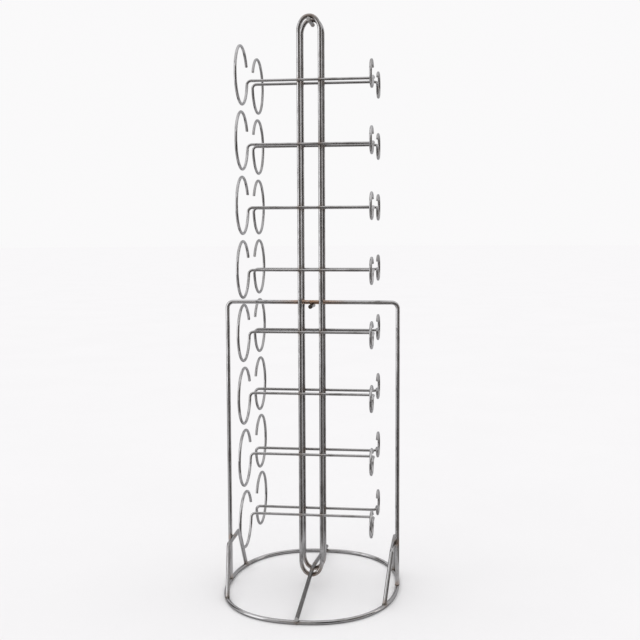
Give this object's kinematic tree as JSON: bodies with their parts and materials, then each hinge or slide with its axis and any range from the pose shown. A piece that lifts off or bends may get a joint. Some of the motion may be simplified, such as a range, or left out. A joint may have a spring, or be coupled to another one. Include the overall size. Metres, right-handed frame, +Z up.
{
  "type": "rotating display rack",
  "caption": "Tall table-top wire rack: an oval base ring and hoop carry a swivelling spine with open ring hooks in tiers, front and rear, for bottles lying on their sides.",
  "frame": {"origin": "on the table, on the vertical swivel axis at the middle of the oval base ring", "axes": "+X along the hoop's crossbar, towards the small neck rings; +Y to the rear; +Z up along the swivel axis"},
  "size_m": [0.26, 0.3258, 0.843],
  "materials": {
    "frame_wire": "bright plated, slightly tarnished at the welds",
    "hook_wire": "bright plated"
  },
  "bodies": {
    "stand": {"base_ring": "frame_wire", "frame_hoop": "frame_wire", "gusset_left": "frame_wire", "gusset_right": "frame_wire", "crossbar_stub": "frame_wire"},
    "carousel": {"base_cross_wire": "frame_wire", "spine_loop_front": "frame_wire", "spine_loop_rear": "frame_wire", "spine_top_tie": "frame_wire", "hook_1_front": "hook_wire", "hook_2_front": "hook_wire", "hook_3_front": "hook_wire", "hook_4_front": "hook_wire", "hook_5_front": "hook_wire", "hook_6_front": "hook_wire", "hook_7_front": "hook_wire", "hook_8_front": "hook_wire", "hook_1_rear": "hook_wire", "hook_2_rear": "hook_wire", "hook_3_rear": "hook_wire", "hook_4_rear": "hook_wire", "hook_5_rear": "hook_wire", "hook_6_rear": "hook_wire", "hook_7_rear": "hook_wire", "hook_8_rear": "hook_wire"}
  },
  "joints": [
    {"name": "carousel_swivel", "type": "hinge", "parent": "stand", "child": "carousel", "pos_m": [0, 0, 0], "axis": [0, 0, 1], "range_deg": [-20, 20]}
  ]
}
